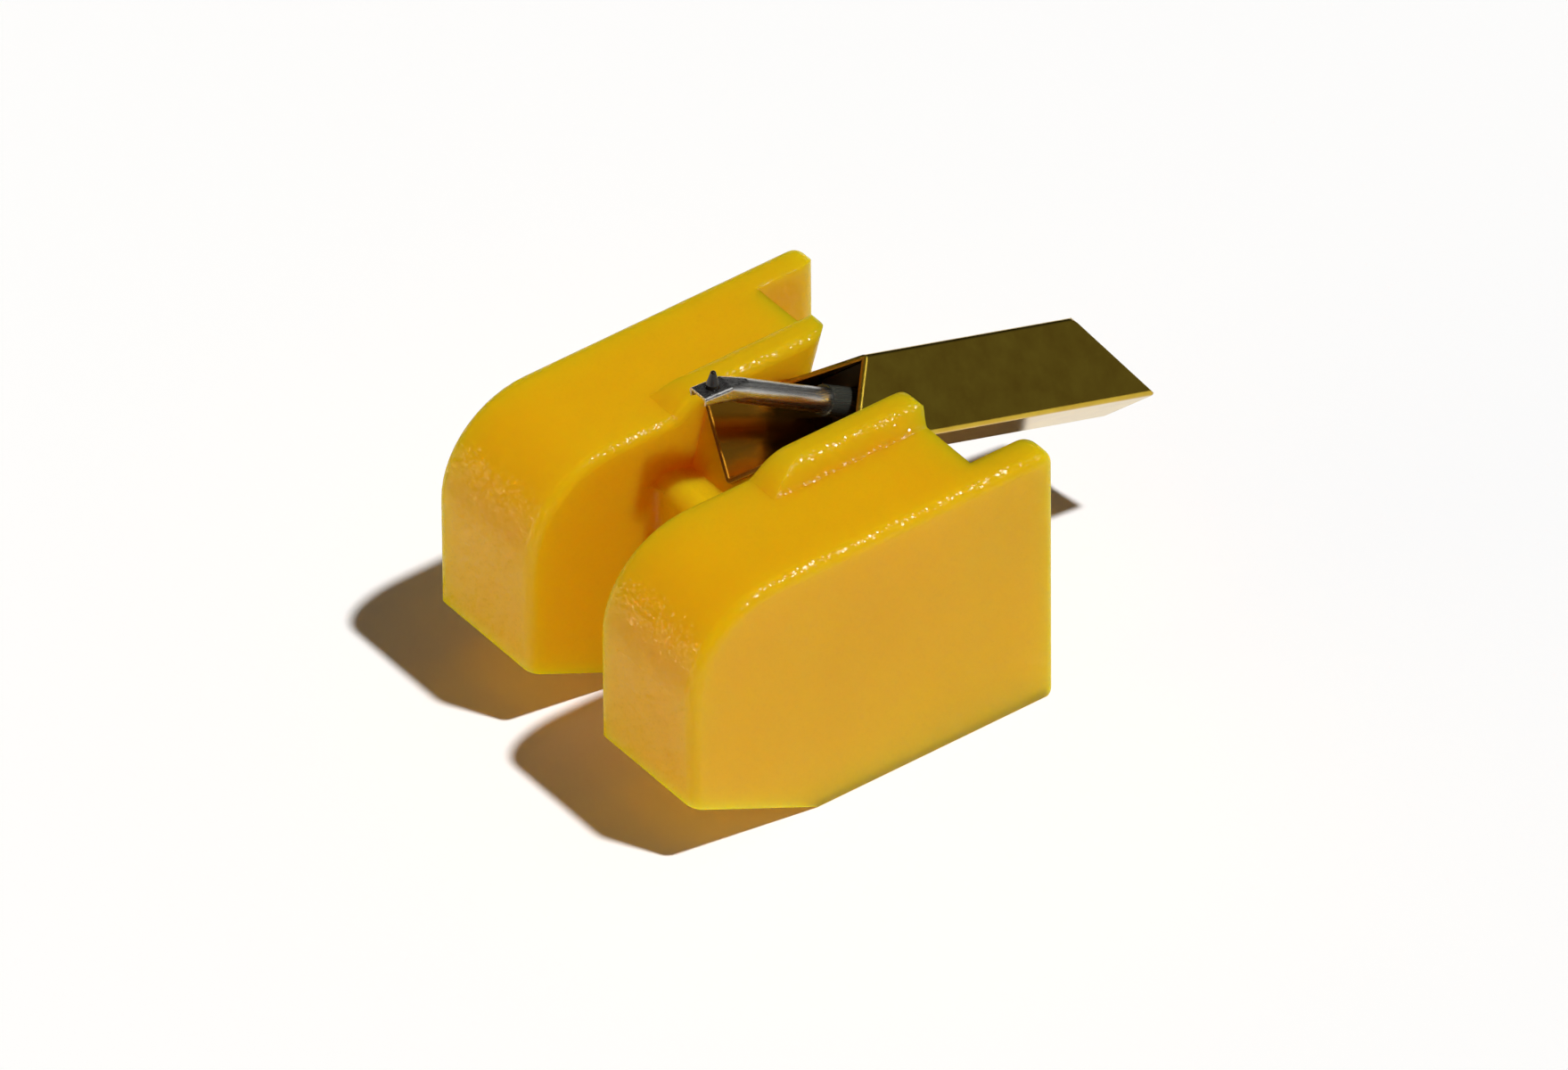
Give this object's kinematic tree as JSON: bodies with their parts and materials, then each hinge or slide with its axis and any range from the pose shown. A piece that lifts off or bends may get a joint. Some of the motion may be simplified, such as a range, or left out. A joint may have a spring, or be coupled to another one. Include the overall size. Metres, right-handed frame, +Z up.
{
  "type": "plug-in phono stylus assembly",
  "caption": "Replaceable stylus for a record player's pick-up: moulded grip, square plated shank on its corner, and a sprung cantilever with a ground stylus.",
  "frame": {"origin": "on the flat base, halfway across and halfway along the moulded holder", "axes": "+X across, +Y back from the nose to the shank's tail, +Z up from the base to the needle"},
  "size_m": [0.0114, 0.0185, 0.0108],
  "materials": {
    "yellow_moulding": "satin",
    "gold_plate": "polished",
    "drawn_aluminium": "drawn",
    "diamond": "polished",
    "clear_sleeve": "clear",
    "black_rubber": "matte",
    "magnet_alloy": "ground",
    "steel_wire": "drawn",
    "anchor_brass": "turned"
  },
  "bodies": {
    "holder": {"stylus_holder": "yellow_moulding", "shank_tube": "gold_plate", "damper_block": "black_rubber", "tie_wire": "steel_wire", "wire_anchor": "anchor_brass"},
    "pivot": {"pivot_bush": "black_rubber"},
    "needle": {"cantilever": "drawn_aluminium", "diamond_tip": "diamond", "bearing_sleeve": "clear_sleeve", "magnet": "magnet_alloy"}
  },
  "joints": [
    {"name": "lift", "type": "hinge", "parent": "holder", "child": "pivot", "pos_m": [0, 0.00416, 0.0071], "axis": [1, 0, 0], "range_deg": [-4, 4], "stiffness_Nm_per_rad": 0.0017, "deforming": ["damper_block", "tie_wire"]},
    {"name": "sway", "type": "hinge", "parent": "pivot", "child": "needle", "pos_m": [0, 0.00416, 0.0071], "axis": [0, 0.5225, 0.8526], "range_deg": [-4, 4], "stiffness_Nm_per_rad": 0.0017, "deforming": ["damper_block", "tie_wire"]}
  ]
}
